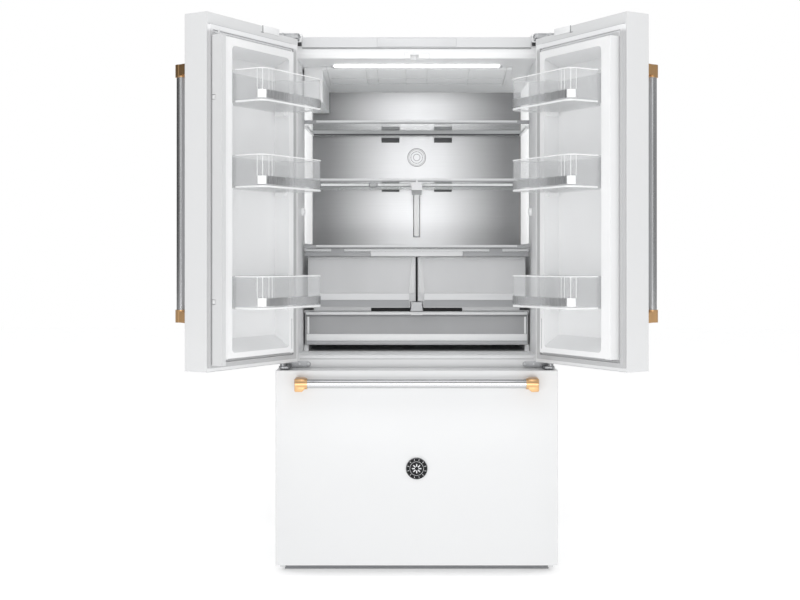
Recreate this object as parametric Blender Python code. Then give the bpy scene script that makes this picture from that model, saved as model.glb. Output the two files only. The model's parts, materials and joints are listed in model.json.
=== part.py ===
"""French door refrigerator: two hinged doors over one freezer drawer.

Every piece is described in the closed frame: X to the right, Y from the front of the closed
doors into the cabinet, Z up from the floor. The doors are then turned open about their pins,
and the whole object is moved back by CENTRE_Y, so that the origin lies under the middle of it.
"""

import math

import bmesh
import bpy
from mathutils import Vector

# Overall size
DOOR_SPAN = 0.454  # half of the width over the doors and over the drawer front
DOOR_GAP = 0.0025  # half of the gap between the two doors
FRONT_DEPTH = 0.085  # thickness of a door and of the drawer front
DOOR_LOW = 0.693
TOP = 1.752
DRAWER_LOW = 0.041
DRAWER_TOP = 0.668
CABINET_HALF = 0.450
CABINET_FACE = 0.097  # where the gaskets land
CABINET_BACK = 0.700
CABINET_LOW = 0.012
CENTRE_Y = 0.1689  # depth of the middle of the whole object, doors open

# Sheet and wall thicknesses, and the gap between neighbours
STEEL = 0.0015
WALL = 0.003
GAP = 0.0004

# Door hinges
HINGE_X = 0.434
HINGE_Y = 0.041
OPEN_ANGLE = math.radians(120.5)
PIN_RADIUS = 0.006
PIN_HOLE = 0.0065
KNUCKLE_RADIUS = 0.016
NOTCH_NEAR = 0.354  # the step in a door's top edge for the upper hinge
NOTCH_FRONT = 0.022
NOTCH_LOW = 1.7385
EDGE_ROUND = 0.0025  # radius of the front edges of the doors and the drawer

# Fresh food space
FOOD_HALF = 0.395  # half width at the front
FOOD_HALF_BACK = 0.386
FOOD_FLOOR = 0.708
FOOD_CEILING = 1.686
FOOD_CEILING_BACK = 1.643
CEILING_BREAK = 0.245  # where the ceiling starts to slope
FOOD_BACK = 0.600
SHELF_FRONT = 0.245
SHELF_BACK = 0.588
SHELF_HALF = 0.385
APRON = (0.2535, 0.2590)  # depth of the strip that hangs from the crisper cover
SLIDER_X = 0.270
SHELF_TOPS = {"top": 1.4983, "half": 1.3000, "cover": 1.0734}
TRIM = 0.0105
RAIL_HALF = 0.018  # the bracket between the two half shelves
CRISPER_FACE = 0.272
DRAWER_FACE = 0.300  # front of the deli drawer

# Freezer space
FREEZER_HALF = 0.393
FREEZER_FLOOR = 0.085
FREEZER_CEILING = 0.640
FREEZER_BACK = 0.590
STEP_BACK = 0.405  # the lower back stands forward of the machine space
STEP_TOP = 0.345
SLIDE_LOW = 0.400
SLIDE_HIGH = 0.445

# Door liner, its raised rim and its bins
RIM_FREE = 0.0285
RIM_HINGE = 0.377
RIM_LOW = 0.730
RIM_HIGH = 1.682
RIM_TOP = 0.125
RECESS_FREE = 0.070
RECESS_HINGE = 0.354
RECESS_FLOOR = 0.071
BIN_FRONT = 0.235
BIN_WIDE = (0.0800, 0.3855)
BIN_NARROW = (0.0815, 0.3380)
BIN_HEIGHT = 0.0985
BIN_LOWS = {"top": 1.4895, "middle": 1.2360, "bottom": 0.8765}
BIN_WALL = 0.0026
BIN_RADIUS = 0.026

# Flipper mullion, on the left door
MULLION_PIVOT = (-0.015, 0.1055)
MULLION_LUGS = (0.900, 1.500)
MULLION_LOW = 0.714
MULLION_HIGH = 1.682
MULLION_PIN_REACH = 0.015
LUG_HALF = 0.006

# Handles
TUBE_RADIUS = 0.014
TUBE_OUT = 0.051  # tube centre in front of the door face
HANDLE_X = 0.047
HANDLE_LOW = 0.833
HANDLE_HIGH = 1.612
DRAWER_HANDLE_Z = 0.630
DRAWER_HANDLE_HALF = 0.387

# Rollers and feet
ROLLER_X = 0.416
ROLLER_RADIUS = 0.022
AXLE = 0.004
FOOT_X = 0.400
FOOT_Y = 0.150

SIDES = {"left": -1, "right": 1}
BODIES = {}
PLANES = {"x": (1, 2), "y": (0, 2), "z": (0, 1)}

# Base colour, roughness and metallic value of each material
FINISHES = {
    "gloss_white_paint": ((0.86, 0.86, 0.86), 0.25, 0.0),
    "white_plastic": ((0.82, 0.82, 0.82), 0.4, 0.0),
    "grey_plastic": ((0.55, 0.55, 0.56), 0.5, 0.0),
    "galvanised_steel": ((0.50, 0.51, 0.52), 0.45, 0.9),
    "brushed_steel": ((0.62, 0.62, 0.63), 0.3, 1.0),
    "brass": ((0.80, 0.55, 0.27), 0.3, 1.0),
    "glass": ((0.75, 0.80, 0.80), 0.1, 0.0),
    "clear_plastic": ((0.80, 0.82, 0.83), 0.15, 0.0),
    "rubber": ((0.35, 0.35, 0.36), 0.7, 0.0),
    "black_enamel": ((0.02, 0.02, 0.02), 0.4, 0.3),
}


class Body:
    """A rigid body: an empty on the joint's axis, which its pieces hang on."""

    def __init__(self, name, pivot=(0, 0, 0), parent=None):
        self.pivot = Vector(pivot)
        self.empty = bpy.data.objects.new(name, None)
        bpy.context.collection.objects.link(self.empty)
        self.empty.location = self.pivot
        if parent:
            self.empty.parent = parent.empty
            self.empty.location = self.pivot - parent.pivot


def clear_scene():
    for obj in list(bpy.data.objects):
        bpy.data.objects.remove(obj, do_unlink=True)


def finish_of(name):
    """The material called name, made the first time it is asked for."""
    if name in bpy.data.materials:
        return bpy.data.materials[name]
    colour, roughness, metallic = FINISHES[name]
    material = bpy.data.materials.new(name)
    material.use_nodes = True
    shader = material.node_tree.nodes["Principled BSDF"]
    shader.inputs["Base Color"].default_value = (*colour, 1)
    shader.inputs["Roughness"].default_value = roughness
    shader.inputs["Metallic"].default_value = metallic
    return material


def face_outwards(mesh):
    mesh.normal_update()
    bmesh.ops.recalc_face_normals(mesh, faces=mesh.faces)


def prism(axis, outline, span):
    """The outline, drawn in the plane across axis, extruded over span along it."""
    along = "xyz".index(axis)
    first, second = PLANES[axis]
    mesh = bmesh.new()
    rings = []
    for level in span:
        ring = []
        for a, b in outline:
            point = [0, 0, 0]
            point[along], point[first], point[second] = level, a, b
            ring.append(mesh.verts.new(point))
        rings.append(ring)
    mesh.faces.new(rings[0])
    mesh.faces.new(rings[1])
    for i in range(len(outline)):
        j = (i + 1) % len(outline)
        mesh.faces.new((rings[0][i], rings[0][j], rings[1][j], rings[1][i]))
    face_outwards(mesh)
    return mesh


def block(x, y, z):
    """A box between two values on each axis, given in either order."""
    return prism("z", [(x[0], y[0]), (x[1], y[0]), (x[1], y[1]), (x[0], y[1])], z)


def frustum(near, near_y, far, far_y):
    """A block between two rectangles (x, x, z, z), one at each depth."""
    mesh = block((0, 1), (0, 1), (0, 1))
    for vert in mesh.verts:
        rectangle, depth = (far, far_y) if vert.co.y > 0.5 else (near, near_y)
        x = rectangle[1] if vert.co.x > 0.5 else rectangle[0]
        z = rectangle[3] if vert.co.z > 0.5 else rectangle[2]
        vert.co = (x, depth, z)
    face_outwards(mesh)
    return mesh


def circle(centre, radius, sides):
    """Points round a circle, in the plane that the caller extrudes across."""
    turns = [2 * math.pi * (i + 0.5) / sides for i in range(sides)]
    return [(centre[0] + radius * math.cos(t), centre[1] + radius * math.sin(t)) for t in turns]


def arc(centre, radius, start, stop, steps):
    """Points along an arc, both ends included, with the angles in degrees."""
    turns = [math.radians(start + (stop - start) * i / steps) for i in range(steps + 1)]
    return [(centre[0] + radius * math.cos(t), centre[1] + radius * math.sin(t)) for t in turns]


def soften(mesh, width, chosen, segments=2):
    """Rounds the edges for which chosen(edge) is true."""
    edges = [edge for edge in mesh.edges if chosen(edge)]
    bmesh.ops.bevel(
        mesh, geom=edges, offset=width, segments=segments, affect="EDGES", profile=0.5
    )
    return mesh


def place(name, mesh, body):
    """A mesh object on a body, from a mesh drawn in the closed frame."""
    bmesh.ops.translate(mesh, verts=mesh.verts, vec=-body.pivot)
    data = bpy.data.meshes.new(name)
    mesh.to_mesh(data)
    mesh.free()
    obj = bpy.data.objects.new(name, data)
    bpy.context.collection.objects.link(obj)
    obj.parent = body.empty
    return obj


def piece(name, mesh, body, finish):
    obj = place(name, mesh, body)
    obj.data.materials.append(finish_of(finish))
    obj.data.shade_smooth()
    obj.data.set_sharp_from_angle(angle=math.radians(30))
    return obj


def change(target, operation, mesh):
    """Adds a shape to target, or cuts it away, with a Boolean modifier and a hidden helper."""
    body = BODIES[target.parent.name]
    helper = place(f"{target.name}_{operation.lower()}_{len(target.modifiers)}", mesh, body)
    helper.hide_render = True
    helper.display_type = "WIRE"
    modifier = target.modifiers.new(helper.name, "BOOLEAN")
    modifier.operation = operation
    modifier.object = helper


def cut(target, mesh):
    change(target, "DIFFERENCE", mesh)


def join(target, mesh):
    change(target, "UNION", mesh)


def food_half_at(depth):
    """Half width of the fresh food space at a depth, with the liner's draft."""
    share = (depth - CABINET_FACE) / (FOOD_BACK - CABINET_FACE)
    return FOOD_HALF + (FOOD_HALF_BACK - FOOD_HALF) * share


def food_volume(front, grow):
    """The fresh food space from depth front to its back wall, grown outwards by grow."""
    slope = (FOOD_CEILING_BACK - FOOD_CEILING) / (FOOD_BACK - CEILING_BREAK)
    back = FOOD_BACK + grow
    outline = [
        (front, FOOD_FLOOR - grow),
        (back, FOOD_FLOOR - grow),
        (back, FOOD_CEILING_BACK + grow + slope * grow),
        (CEILING_BREAK, FOOD_CEILING + grow),
        (front, FOOD_CEILING + grow),
    ]
    mesh = prism("x", outline, (-1, 1))
    for vert in mesh.verts:
        vert.co.x *= food_half_at(vert.co.y) + grow
    return mesh


def outer_case(body):
    """Steel wrapper with its front return flange and the welded rail between the two spaces."""
    half = CABINET_HALF
    case = piece(
        "outer_wrapper",
        block((-half, half), (CABINET_FACE, CABINET_BACK), (CABINET_LOW, TOP)),
        body,
        "gloss_white_paint",
    )
    inner = half - STEEL
    cut(case, block((-inner, inner), (CABINET_FACE + STEEL, 0.8), (-0.1, TOP - STEEL)))
    flange = 0.018
    window = half - flange
    cut(case, block((-window, window), (0.05, CABINET_FACE + 0.01), (-0.1, TOP - flange)))
    rail = (DRAWER_TOP, FOOD_FLOOR - WALL - GAP)
    end = half - 0.0005
    join(case, block((-end, end), (CABINET_FACE, CABINET_FACE + STEEL), rail))
    for low in (rail[0], rail[1] - STEEL):
        join(case, block((-end, end), (CABINET_FACE + 0.0005, 0.14), (low, low + STEEL)))

    back = CABINET_BACK + GAP
    panel = piece(
        "back_panel",
        block((-half, half), (back, back + STEEL), (0.330, TOP)),
        body,
        "galvanised_steel",
    )
    join(panel, block((-0.38, 0.38), (back + 0.001, back + 0.0055), (0.42, 1.66)))
    cut(panel, block((-0.3785, 0.3785), (back - 0.01, back + 0.004), (0.4215, 1.6585)))


def liners(body):
    """The two moulded inner boxes, each with a flange behind the cabinet's front face."""
    flange_half = CABINET_HALF - 0.0185
    food = piece("fresh_food_liner", food_volume(CABINET_FACE, WALL), body, "white_plastic")
    flange = (CABINET_FACE, CABINET_FACE + WALL)
    join(food, block((-flange_half, flange_half), flange, (FOOD_FLOOR - 0.001, TOP - 0.0185)))
    cut(food, food_volume(0.05, 0))
    cut(food, block((-0.0415, 0.0415), (0.05, 0.1358), (FOOD_CEILING - 0.005, 1.7040)))
    for side in SIDES.values():
        for top in ledge_heights():
            join(food, ledge(side, top))
        join(food, block((side * 0.374, side * 0.389), (0.304, 0.594), (0.7075, 0.7296)))

    outline = [
        (FREEZER_FLOOR, CABINET_FACE),
        (FREEZER_FLOOR, STEP_BACK),
        (STEP_TOP, STEP_BACK),
        (STEP_TOP, FREEZER_BACK),
        (FREEZER_CEILING, FREEZER_BACK),
        (FREEZER_CEILING, CABINET_FACE),
    ]
    freezer = piece(
        "freezer_liner", freezer_volume(outline, WALL, CABINET_FACE), body, "white_plastic"
    )
    join(freezer, block((-flange_half, flange_half), flange, (0.070, DRAWER_TOP - GAP)))
    cut(freezer, freezer_volume(outline, 0, 0.05))


def ledge_heights():
    """Undersides of the three shelf levels and of the shelf under the crispers."""
    return [top - TRIM - GAP for top in SHELF_TOPS.values()] + [0.8471]


def ledge(side, top):
    """A moulded support on one side wall of the fresh food space."""
    front = DRAWER_FACE + 0.004
    return block((side * 0.378, side * 0.3885), (front, 0.594), (top - 0.008, top))


def freezer_volume(outline, grow, front):
    """The stepped freezer space, grown outwards by grow, starting at depth front."""
    points = []
    for height, depth in outline:
        up = grow if height > 0.5 else -grow
        if height == STEP_TOP:
            up = -grow
        points.append((front if depth == CABINET_FACE else depth + grow, height + up))
    half = FREEZER_HALF + grow
    return prism("x", points, (-half, half))


def base(body):
    """Steel pan under the cabinet, with ears for the roller axles, and the kick plate."""
    pan = piece("base_frame", block((-0.4475, 0.4475), (0.115, 0.695), (0.036, 0.062)), body,
                "galvanised_steel")
    cut(pan, block((-0.4455, 0.4455), (0.117, 0.693), (0.038, 0.1)))
    for side in SIDES.values():
        for x in (ROLLER_X - 0.0135, ROLLER_X + 0.0105):
            ear = block((side * x, side * (x + 0.003)), (0.615, 0.645), (0.012, 0.037))
            join(pan, ear)
        x = (side * (ROLLER_X - 0.0095), side * (ROLLER_X + 0.0095))
        cut(pan, block(x, (0.604, 0.656), (0.03, 0.045)))
        far = (side * (ROLLER_X - 0.03), side * (ROLLER_X + 0.03))
        cut(pan, prism("x", circle((0.630, ROLLER_RADIUS), AXLE + 0.0005, 12), far))
        cut(pan, prism("z", circle((side * FOOT_X, FOOT_Y), 0.0066, 12), (0.03, 0.045)))
    kick = piece("kick_plate", block((-0.4355, 0.4355), (0.108, 0.1110), (0.004, 0.068)), body,
                 "grey_plastic")
    for index in range(12):
        x = -0.33 + 0.06 * index
        cut(kick, block((x - 0.024, x + 0.024), (0.1, 0.12), (0.030, 0.038)))


def feet_and_rollers(body, rollers):
    """Levelling feet at the front, and two rollers behind on their axles."""
    for name, side in SIDES.items():
        foot = piece(
            f"leveling_foot_{name}",
            prism("z", circle((side * FOOT_X, FOOT_Y), 0.020, 20), (0, 0.012)),
            body,
            "black_enamel",
        )
        join(foot, prism("z", circle((side * FOOT_X, FOOT_Y), PIN_RADIUS, 12), (0.006, 0.056)))
        width = (side * (ROLLER_X - 0.008), side * (ROLLER_X + 0.008))
        roller = piece(
            f"rear_roller_{name}",
            prism("x", circle((0.630, ROLLER_RADIUS), ROLLER_RADIUS, 24), width),
            rollers[name],
            "black_enamel",
        )
        axle = (side * (ROLLER_X - 0.016), side * (ROLLER_X + 0.016))
        join(roller, prism("x", circle((0.630, ROLLER_RADIUS), AXLE, 12), axle))


def top_trim(body):
    """Front cover along the top of the cabinet."""
    back = CABINET_FACE - GAP
    lid = TOP + GAP
    outline = [(0.090, 1.7215), (back, 1.7215), (back, lid), (0.150, lid), (0.150, 1.7550),
               (0.090, 1.7550)]
    piece("top_front_cover", prism("x", outline, (-0.377, 0.377)), body, "grey_plastic")


def hinges(body):
    """Upper and lower brackets, each with the pin that a door turns on."""
    for name, side in SIDES.items():
        pin = circle((side * HINGE_X, HINGE_Y), PIN_RADIUS, 16)
        low = TOP + 0.0006
        upper = piece(
            f"upper_hinge_{name}",
            block((side * 0.381, side * 0.448), (0.026, 0.168), (low, low + 0.004)),
            body,
            "galvanised_steel",
        )
        join(upper, prism("z", pin, (NOTCH_LOW - 0.010, low + 0.002)))
        thick = (NOTCH_LOW + 0.003, low + 0.002)
        join(upper, block((side * 0.384, side * HINGE_X), (0.028, 0.0885), thick))
        knuckle = circle((side * HINGE_X, HINGE_Y), KNUCKLE_RADIUS, 20)
        join(upper, prism("z", knuckle, thick))
        join(upper, block((side * 0.386, side * 0.440), (0.085, 0.160), (low + 0.003, 1.7620)))
        face = (CABINET_FACE - 0.0045, CABINET_FACE - GAP)
        outline = [(side * 0.447, 0.671), (side * 0.447, 0.690)]
        outline += [(side * x, z) for x, z in arc((0.3575, 0.6805), 0.0095, 90, 270, 6)]
        lower = piece(f"lower_hinge_{name}", prism("y", outline, face), body, "brushed_steel")
        arm = block((side * 0.411, side * 0.447), (0.022, CABINET_FACE - 0.002), (0.672, 0.678))
        join(lower, soften(arm, 0.010, lambda edge: is_upright(edge, 0.03), 3))
        collar = circle((side * HINGE_X, HINGE_Y), 0.010, 16)
        join(lower, prism("z", collar, (0.677, DOOR_LOW - 0.0015)))
        join(lower, prism("z", pin, (0.680, DOOR_LOW + 0.022)))


def is_upright(edge, before):
    """True for a vertical edge nearer to the front than a given depth."""
    first, second = (vert.co for vert in edge.verts)
    upright = abs(first.z - second.z) > 1e-4 and (first.xy - second.xy).length < 1e-6
    return upright and first.y < before


def rear_wall(body):
    """Metal panel at the back of the fresh food space, with air outlets and a shelf rail."""
    panel = piece(
        "rear_wall_panel",
        block((-0.3835, 0.3835), (0.5975, FOOD_BACK - GAP), (1.078, 1.6405)),
        body,
        "brushed_steel",
    )
    for side in SIDES.values():
        for low, high in ((1.458, 1.515), (1.275, 1.318)):
            cut(panel, block((side * 0.063, side * 0.131), (0.59, 0.61), (low, high)))
    join(panel, block((-0.0105, 0.0105), (0.5890, 0.5985), (1.109, 1.2885)))
    arm = (1.262, SHELF_TOPS["half"] - TRIM - GAP)
    join(panel, block((-RAIL_HALF, RAIL_HALF), (SHELF_FRONT + 0.010, 0.5895), arm))


def ceiling_at(depth):
    """Height of the fresh food ceiling at a depth behind the break."""
    share = (depth - CEILING_BREAK) / (FOOD_BACK - CEILING_BREAK)
    return FOOD_CEILING + (FOOD_CEILING_BACK - FOOD_CEILING) * share


def fittings(body):
    """Water filter housing and the guide that turns the mullion."""
    outline = [
        (0.268, 1.563),
        (0.590, 1.563),
        (0.590, ceiling_at(0.590) - GAP),
        (0.268, ceiling_at(0.268) - GAP),
    ]
    housing = prism("x", outline, (-0.3850, -0.322))
    piece("water_filter_housing", housing, body, "white_plastic")

    guide = piece(
        "mullion_guide",
        block((-0.041, 0.041), (CABINET_FACE + GAP, 0.1355), (FOOD_CEILING + GAP, 1.7036)),
        body,
        "white_plastic",
    )
    track = [
        (-0.024, 0.08),
        (0.011, 0.08),
        (0.006, 0.103),
        (0.006, 0.112),
        (-0.004, 0.1245),
        (-0.0195, 0.1245),
        (-0.0195, 0.103),
    ]
    cut(guide, prism("z", track, (1.67, 1.699)))


def shelf(name, x, top, body):
    """A glass shelf with a front trim, side trims and a rear trim, in one frame."""
    plate = (top - 0.0060, top - 0.0008)
    obj = piece(name, block(x, (SHELF_FRONT + 0.004, SHELF_BACK), plate), body, "glass")
    join(obj, block(x, (SHELF_FRONT, SHELF_FRONT + 0.012), (top - TRIM, top)))
    rear = []
    for edge in x:
        outer = abs(edge) > RAIL_HALF
        inwards = edge - math.copysign(0.006, edge)
        if outer:
            y = (SHELF_FRONT + 0.01, SHELF_BACK)
            join(obj, block((edge, inwards), y, (top - TRIM, plate[1])))
        reach = abs(edge) - 0.009 if outer else RAIL_HALF + 0.0015
        rear.append(math.copysign(reach, edge))
    join(obj, block(rear, (SHELF_BACK - 0.012, SHELF_BACK), (top - 0.0205, plate[1])))
    return obj


def shelves(body):
    """Full-width shelf, two half-width shelves, the crisper cover and the shelf below it."""
    half = SHELF_HALF
    shelf("top_shelf", (-half, half), SHELF_TOPS["top"], body)
    for name, side in SIDES.items():
        x = (side * 0.0025, side * half)
        shelf(f"half_shelf_{name}", x, SHELF_TOPS["half"], body)
    top = SHELF_TOPS["cover"]
    cover = shelf("crisper_cover", (-half, half), top, body)
    join(cover, block((-0.377, 0.377), APRON, (1.0490, top - 0.005)))
    join(cover, block((-0.157, 0.157), APRON, (1.0350, 1.0500)))
    lower = piece(
        "crisper_shelf",
        block((-0.384, 0.384), (CRISPER_FACE + 0.001, SHELF_BACK), (0.8475, 0.8495)),
        body,
        "glass",
    )
    face = CRISPER_FACE - 0.0095
    foot = [(-0.0180, 0.0180), (-0.0205, 0.0205)]
    join(lower, tapered_tub(foot, (face, CRISPER_FACE - 0.0045), (0.8475, 0.8785), 0))
    join(lower, block((-0.0200, 0.0200), (face, CRISPER_FACE + 0.005), (0.8475, 0.8495)))


def humidity_slider(name, side, body):
    """A slider that hooks round the lower edge of the crisper cover's apron."""
    x = (side * (SLIDER_X - 0.022), side * (SLIDER_X + 0.022))
    front, back = APRON[0] - GAP, APRON[1] + GAP
    obj = piece(f"humidity_slider_{name}", block(x, (front - 0.0028, front), (1.0385, 1.0615)),
                body, "white_plastic")
    join(obj, block(x, (front - 0.001, back + 0.002), (1.0385, 1.0485)))
    join(obj, block(x, (back, back + 0.003), (1.0385, 1.0570)))
    grip = (side * (SLIDER_X - 0.005), side * (SLIDER_X + 0.005))
    join(obj, block(grip, (front - 0.0060, front - 0.001), (1.0410, 1.0590)))


def crisper(name, side, body):
    """A fruit and vegetable drawer: an upright front and a tapered tub behind it."""
    inner, outer = side * 0.0040, side * 0.3725
    low, high = 0.8590, 1.0335
    low_back = 0.8500
    slope = 0.020
    notch = [(inner, 0.8815), (side * 0.0222, 0.8800), (side * 0.0232, low)]
    outline = [(outer, low), (outer, high), (inner, high), *notch]
    plate = prism("y", outline, (CRISPER_FACE - 0.004, CRISPER_FACE + 0.001))
    obj = piece(f"crisper_{name}", plate, body, "clear_plastic")
    near = [(inner, outer), (inner + side * slope, outer - side * slope)]
    join(obj, tapered_tub(near, (CRISPER_FACE, 0.575), (low_back, high), 0))
    cut(obj, tapered_tub(near, (CRISPER_FACE, 0.575), (low_back, high), BIN_WALL))


def tapered_tub(widths, y, z, inset):
    """A block whose x span narrows from widths[0] at the top to widths[1] at the bottom."""
    mesh = block((0, 1), (0, 1), (0, 1))
    for vert in mesh.verts:
        high = vert.co.z > 0.5
        ends = sorted(widths[0] if high else widths[1])
        x = ends[1] - inset if vert.co.x > 0.5 else ends[0] + inset
        depth = y[1] - inset if vert.co.y > 0.5 else y[0] + inset
        height = z[1] + inset if high else z[0] + inset
        vert.co = (x, depth, height)
    face_outwards(mesh)
    return mesh


def deli_drawer(body):
    """Full-width drawer at the bottom of the fresh food space."""
    low, high = 0.7300, 0.8450
    obj = piece(
        "deli_drawer",
        block((-0.3850, 0.3850), (DRAWER_FACE - 0.004, DRAWER_FACE), (low, high)),
        body,
        "clear_plastic",
    )
    join(obj, block((-0.3720, 0.3720), (DRAWER_FACE - 0.001, 0.575), (low, high)))
    x = (-0.3720 + BIN_WALL, 0.3720 - BIN_WALL)
    cut(obj, block(x, (DRAWER_FACE + BIN_WALL, 0.575 - BIN_WALL), (low + BIN_WALL, 0.9)))
    for side in SIDES.values():
        skid = block((side * 0.3715, side * 0.3830), (DRAWER_FACE + 0.004, 0.575), (low, 0.7335))
        join(obj, skid)


def machine_space(body):
    """Compressor at the lower back, behind a slotted cover with the moulded cord gland."""
    x, y = 0.20, 0.560
    can = piece("compressor", prism("z", circle((x, y), 0.082, 20), (0.070, 0.190)), body,
                "black_enamel")
    for level, radius in ((0.206, 0.072), (0.217, 0.055), (0.223, 0.030)):
        join(can, prism("z", circle((x, y), radius, 20), (0.150, level)))
    join(can, block((x - 0.095, x + 0.095), (y - 0.060, y + 0.060), (0.0384, 0.072)))

    face = CABINET_BACK + GAP
    cover = piece(
        "machine_cover",
        block((-CABINET_HALF, CABINET_HALF), (face, face + 0.002), (0.046, 0.3296)),
        body,
        "grey_plastic",
    )
    for index in range(8):
        z = 0.095 + 0.025 * index
        cut(cover, block((-0.40, -0.10), (0.69, 0.72), (z, z + 0.009)))
    gland = (0.36, 0.100)
    join(cover, prism("y", circle(gland, 0.016, 16), (face + 0.001, face + 0.005)))
    join(cover, prism("y", circle(gland, 0.010, 16), (face + 0.004, face + 0.014)))
    cut(cover, prism("y", circle(gland, 0.0045, 12), (0.69, 0.75)))


def door(name, side, body):
    """One door: painted pan, moulded liner, gasket, handle and three bins."""
    free, far = side * DOOR_GAP, side * DOOR_SPAN
    pan = block((free, far), (0, FRONT_DEPTH), (DOOR_LOW, TOP))
    shell = piece(f"door_shell_{name}", soften(pan, EDGE_ROUND, is_front_edge), body,
                  "gloss_white_paint")
    inner = (free + side * STEEL, far - side * STEEL)
    cut(shell, block(inner, (STEEL, 0.2), (DOOR_LOW + STEEL, 1.719)))
    cut(shell, block(inner, (STEEL, FRONT_DEPTH - STEEL), (1.700, TOP - STEEL)))
    hinge_notch(shell, side)
    pin_hole = circle((side * HINGE_X, HINGE_Y), PIN_HOLE, 16)
    cut(shell, prism("z", pin_hole, (DOOR_LOW - 0.01, DOOR_LOW + 0.01)))
    cut(shell, prism("z", pin_hole, (NOTCH_LOW - 0.01, TOP + 0.01)))

    inner = (free + side * (STEEL + GAP), far - side * (STEEL + GAP))
    sheet = (FRONT_DEPTH - WALL, FRONT_DEPTH)
    plate = block(inner, sheet, (DOOR_LOW + STEEL + GAP, 1.719 - GAP))
    liner = piece(f"door_liner_{name}", plate, body, "white_plastic")
    rim = block((side * RIM_FREE, side * RIM_HINGE), (RECESS_FLOOR - WALL, RIM_TOP),
                (RIM_LOW, RIM_HIGH))
    join(liner, rim)
    floor = (side * (RECESS_FREE + 0.004), side * (RECESS_HINGE - 0.004), 0.786, 1.634)
    mouth = (side * RECESS_FREE, side * RECESS_HINGE, 0.747, 1.659)
    cut(liner, frustum(floor, RECESS_FLOOR, mouth, RIM_TOP + 0.001))
    for low in BIN_LOWS.values():
        for x in ((RECESS_FREE - 0.002, 0.086), (0.338, RECESS_HINGE + 0.002)):
            lug = block((side * x[0], side * x[1]), (0.080, 0.116), (low - 0.012, low - GAP))
            join(liner, lug)

    outer = (side * 0.0050, side * 0.4315)
    seal = block(outer, (FRONT_DEPTH + GAP, CABINET_FACE - GAP), (0.7055, 1.7145))
    gasket = piece(f"door_gasket_{name}", seal, body, "rubber")
    cut(gasket, block((side * 0.0190, side * 0.4175), (0.05, 0.15), (0.7195, 1.7005)))
    for level, low in BIN_LOWS.items():
        door_bin(f"door_bin_{name}_{level}", side, low, body)
    door_handle(name, side, body)
    return liner


def hinge_notch(shell, side):
    """The step in a door's top edge where the upper hinge arm lies."""
    near, front = NOTCH_NEAR, NOTCH_FRONT
    far = DOOR_SPAN - STEEL / 2
    walls = block((side * (near - STEEL), side * far), (front - STEEL, FRONT_DEPTH - STEEL / 2),
                  (NOTCH_LOW - STEEL, TOP - STEEL / 2))
    join(shell, walls)
    space = block((side * near, side * (DOOR_SPAN + 0.01)), (front, FRONT_DEPTH + 0.01),
                  (NOTCH_LOW, TOP + 0.01))
    cut(shell, space)


def is_front_edge(edge):
    """True for an edge whose two ends lie on the front face."""
    return all(vert.co.y < 1e-6 for vert in edge.verts)


def bin_outline(side, inset):
    """Plan of a door bin: a wide front part with round corners, and a narrower back."""
    near, far = BIN_WIDE[0] + inset, BIN_WIDE[1] - inset
    back_near, back_far = BIN_NARROW[0] + inset, BIN_NARROW[1] - inset
    radius = BIN_RADIUS - inset
    front = BIN_FRONT - inset
    shoulder = RIM_TOP + 0.0018 + inset
    points = [(back_near, 0.0735 + inset), (back_far, 0.0735 + inset)]
    points += [(back_far, shoulder), (far, shoulder)]
    points += arc((far - radius, front - radius), radius, 0, 90, 5)
    points += arc((near + radius, front - radius), radius, 90, 180, 5)
    points += [(near, shoulder), (back_near, shoulder)]
    return [(side * x, y) for x, y in points]


def door_bin(name, side, low, body):
    """A clear bin, open at the top."""
    obj = piece(name, prism("z", bin_outline(side, 0), (low, low + BIN_HEIGHT)), body,
                "clear_plastic")
    cut(obj, prism("z", bin_outline(side, BIN_WALL), (low + BIN_WALL, low + 0.2)))


def door_handle(name, side, body):
    """Upright tube, held at each end in the socket of a cast bracket."""
    centre = (side * HANDLE_X, -TUBE_OUT)
    span = (HANDLE_LOW + 0.0115, HANDLE_HIGH - 0.0115)
    tube = prism("z", circle(centre, TUBE_RADIUS, 20), span)
    piece(f"door_handle_{name}", tube, body, "brushed_steel")
    for end, level, way in (("upper", HANDLE_HIGH, 1), ("lower", HANDLE_LOW, -1)):
        def spot(along, across, out, level=level, way=way):
            """A point of the casting: along the tube from its end, across it, and out."""
            return (side * (HANDLE_X + across), -out, level - way * along)

        bracket(f"door_bracket_{name}_{end}", spot, body)


def bracket(name, spot, body):
    """A handle bracket, drawn with spot(along, across, out)."""
    near = [(0.002, -0.0165), (0.002, 0.0165), (0.036, 0.0165), (0.036, -0.0165)]
    foot = [(0.000, -0.0165), (0.000, 0.0215), (0.027, 0.0215), (0.027, -0.0165)]
    mesh = bmesh.new()
    rings = []
    for ring, out in ((foot, 0.0003), (near, 0.040), (near, TUBE_OUT)):
        rings.append([mesh.verts.new(spot(a, b, out)) for a, b in ring])
    mesh.faces.new(rings[0])
    mesh.faces.new(rings[-1])
    for lower, upper in zip(rings, rings[1:]):
        for i in range(4):
            j = (i + 1) % 4
            mesh.faces.new((lower[i], lower[j], upper[j], upper[i]))
    face_outwards(mesh)
    casting = piece(name, mesh, body, "brass")
    join(casting, barrel(spot, 0.0175, 0.002, 0.040, 20))
    cut(casting, barrel(spot, TUBE_RADIUS + GAP, 0.011, 0.060, 20))


def barrel(spot, radius, start, stop, sides):
    """A cylinder along the tube's own axis, in the bracket's terms."""
    ring = circle((0, TUBE_OUT), radius, sides)
    mesh = bmesh.new()
    ends = [[mesh.verts.new(spot(along, a, b)) for a, b in ring] for along in (start, stop)]
    mesh.faces.new(ends[0])
    mesh.faces.new(ends[1])
    for i in range(sides):
        j = (i + 1) % sides
        mesh.faces.new((ends[0][i], ends[0][j], ends[1][j], ends[1][i]))
    face_outwards(mesh)
    return mesh


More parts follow.
